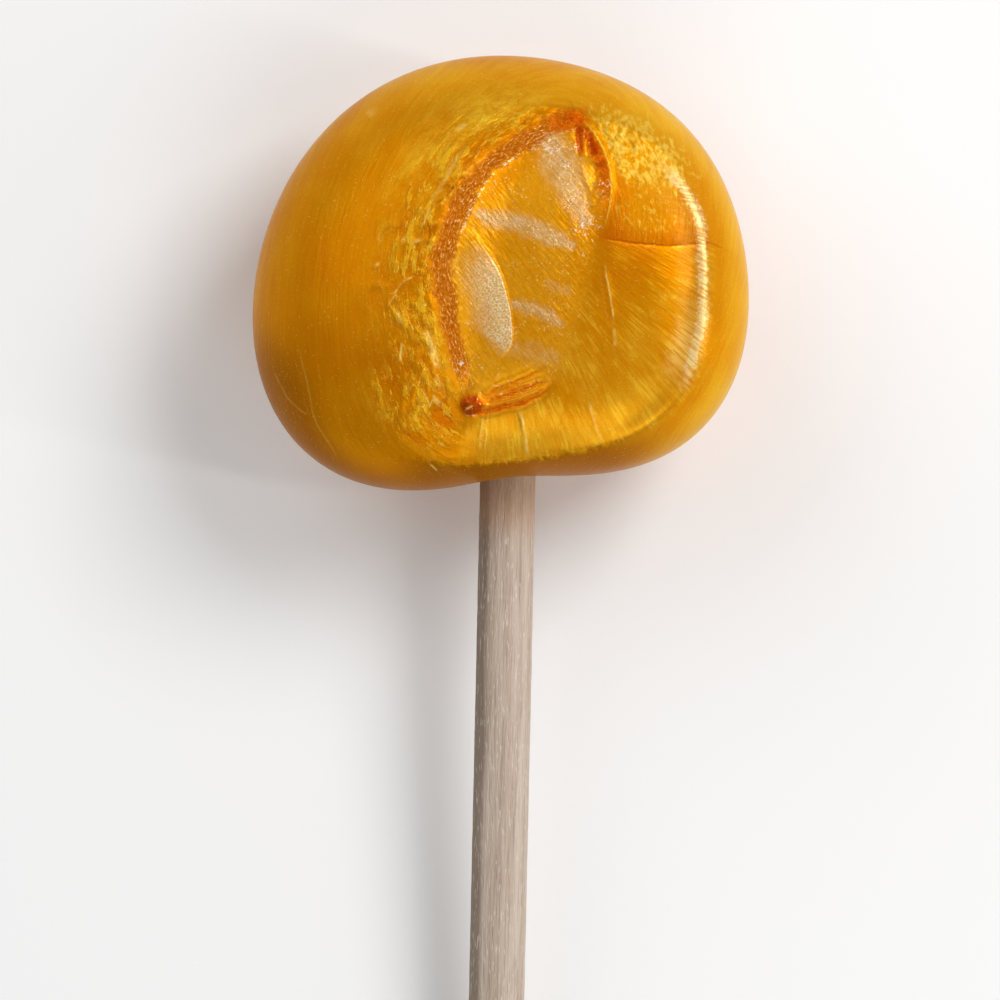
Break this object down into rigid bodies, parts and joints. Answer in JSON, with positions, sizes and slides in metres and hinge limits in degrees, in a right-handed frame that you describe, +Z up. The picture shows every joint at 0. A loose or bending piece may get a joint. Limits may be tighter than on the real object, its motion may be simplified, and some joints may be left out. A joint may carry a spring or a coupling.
{
  "type": "lollipop",
  "caption": "Hand-rolled amber hard-candy lollipop with a puckered cut scar on its face, on a round wooden stick, lying on its back.",
  "frame": {"origin": "the middle of the small flat spot that the head rests on, in the plane through the stick's axis", "axes": "+Z up out of the head's face, +Y along the lollipop from the stick towards the head, +X to the right of the face"},
  "size_m": [0.0398, 0.1116, 0.026],
  "materials": {
    "pulled_sugar": "satin-glossy amber pulled sugar",
    "birch": "unvarnished turned birch"
  },
  "bodies": {
    "root": {"candy_head": "pulled_sugar", "stick": "birch"}
  },
  "joints": []
}
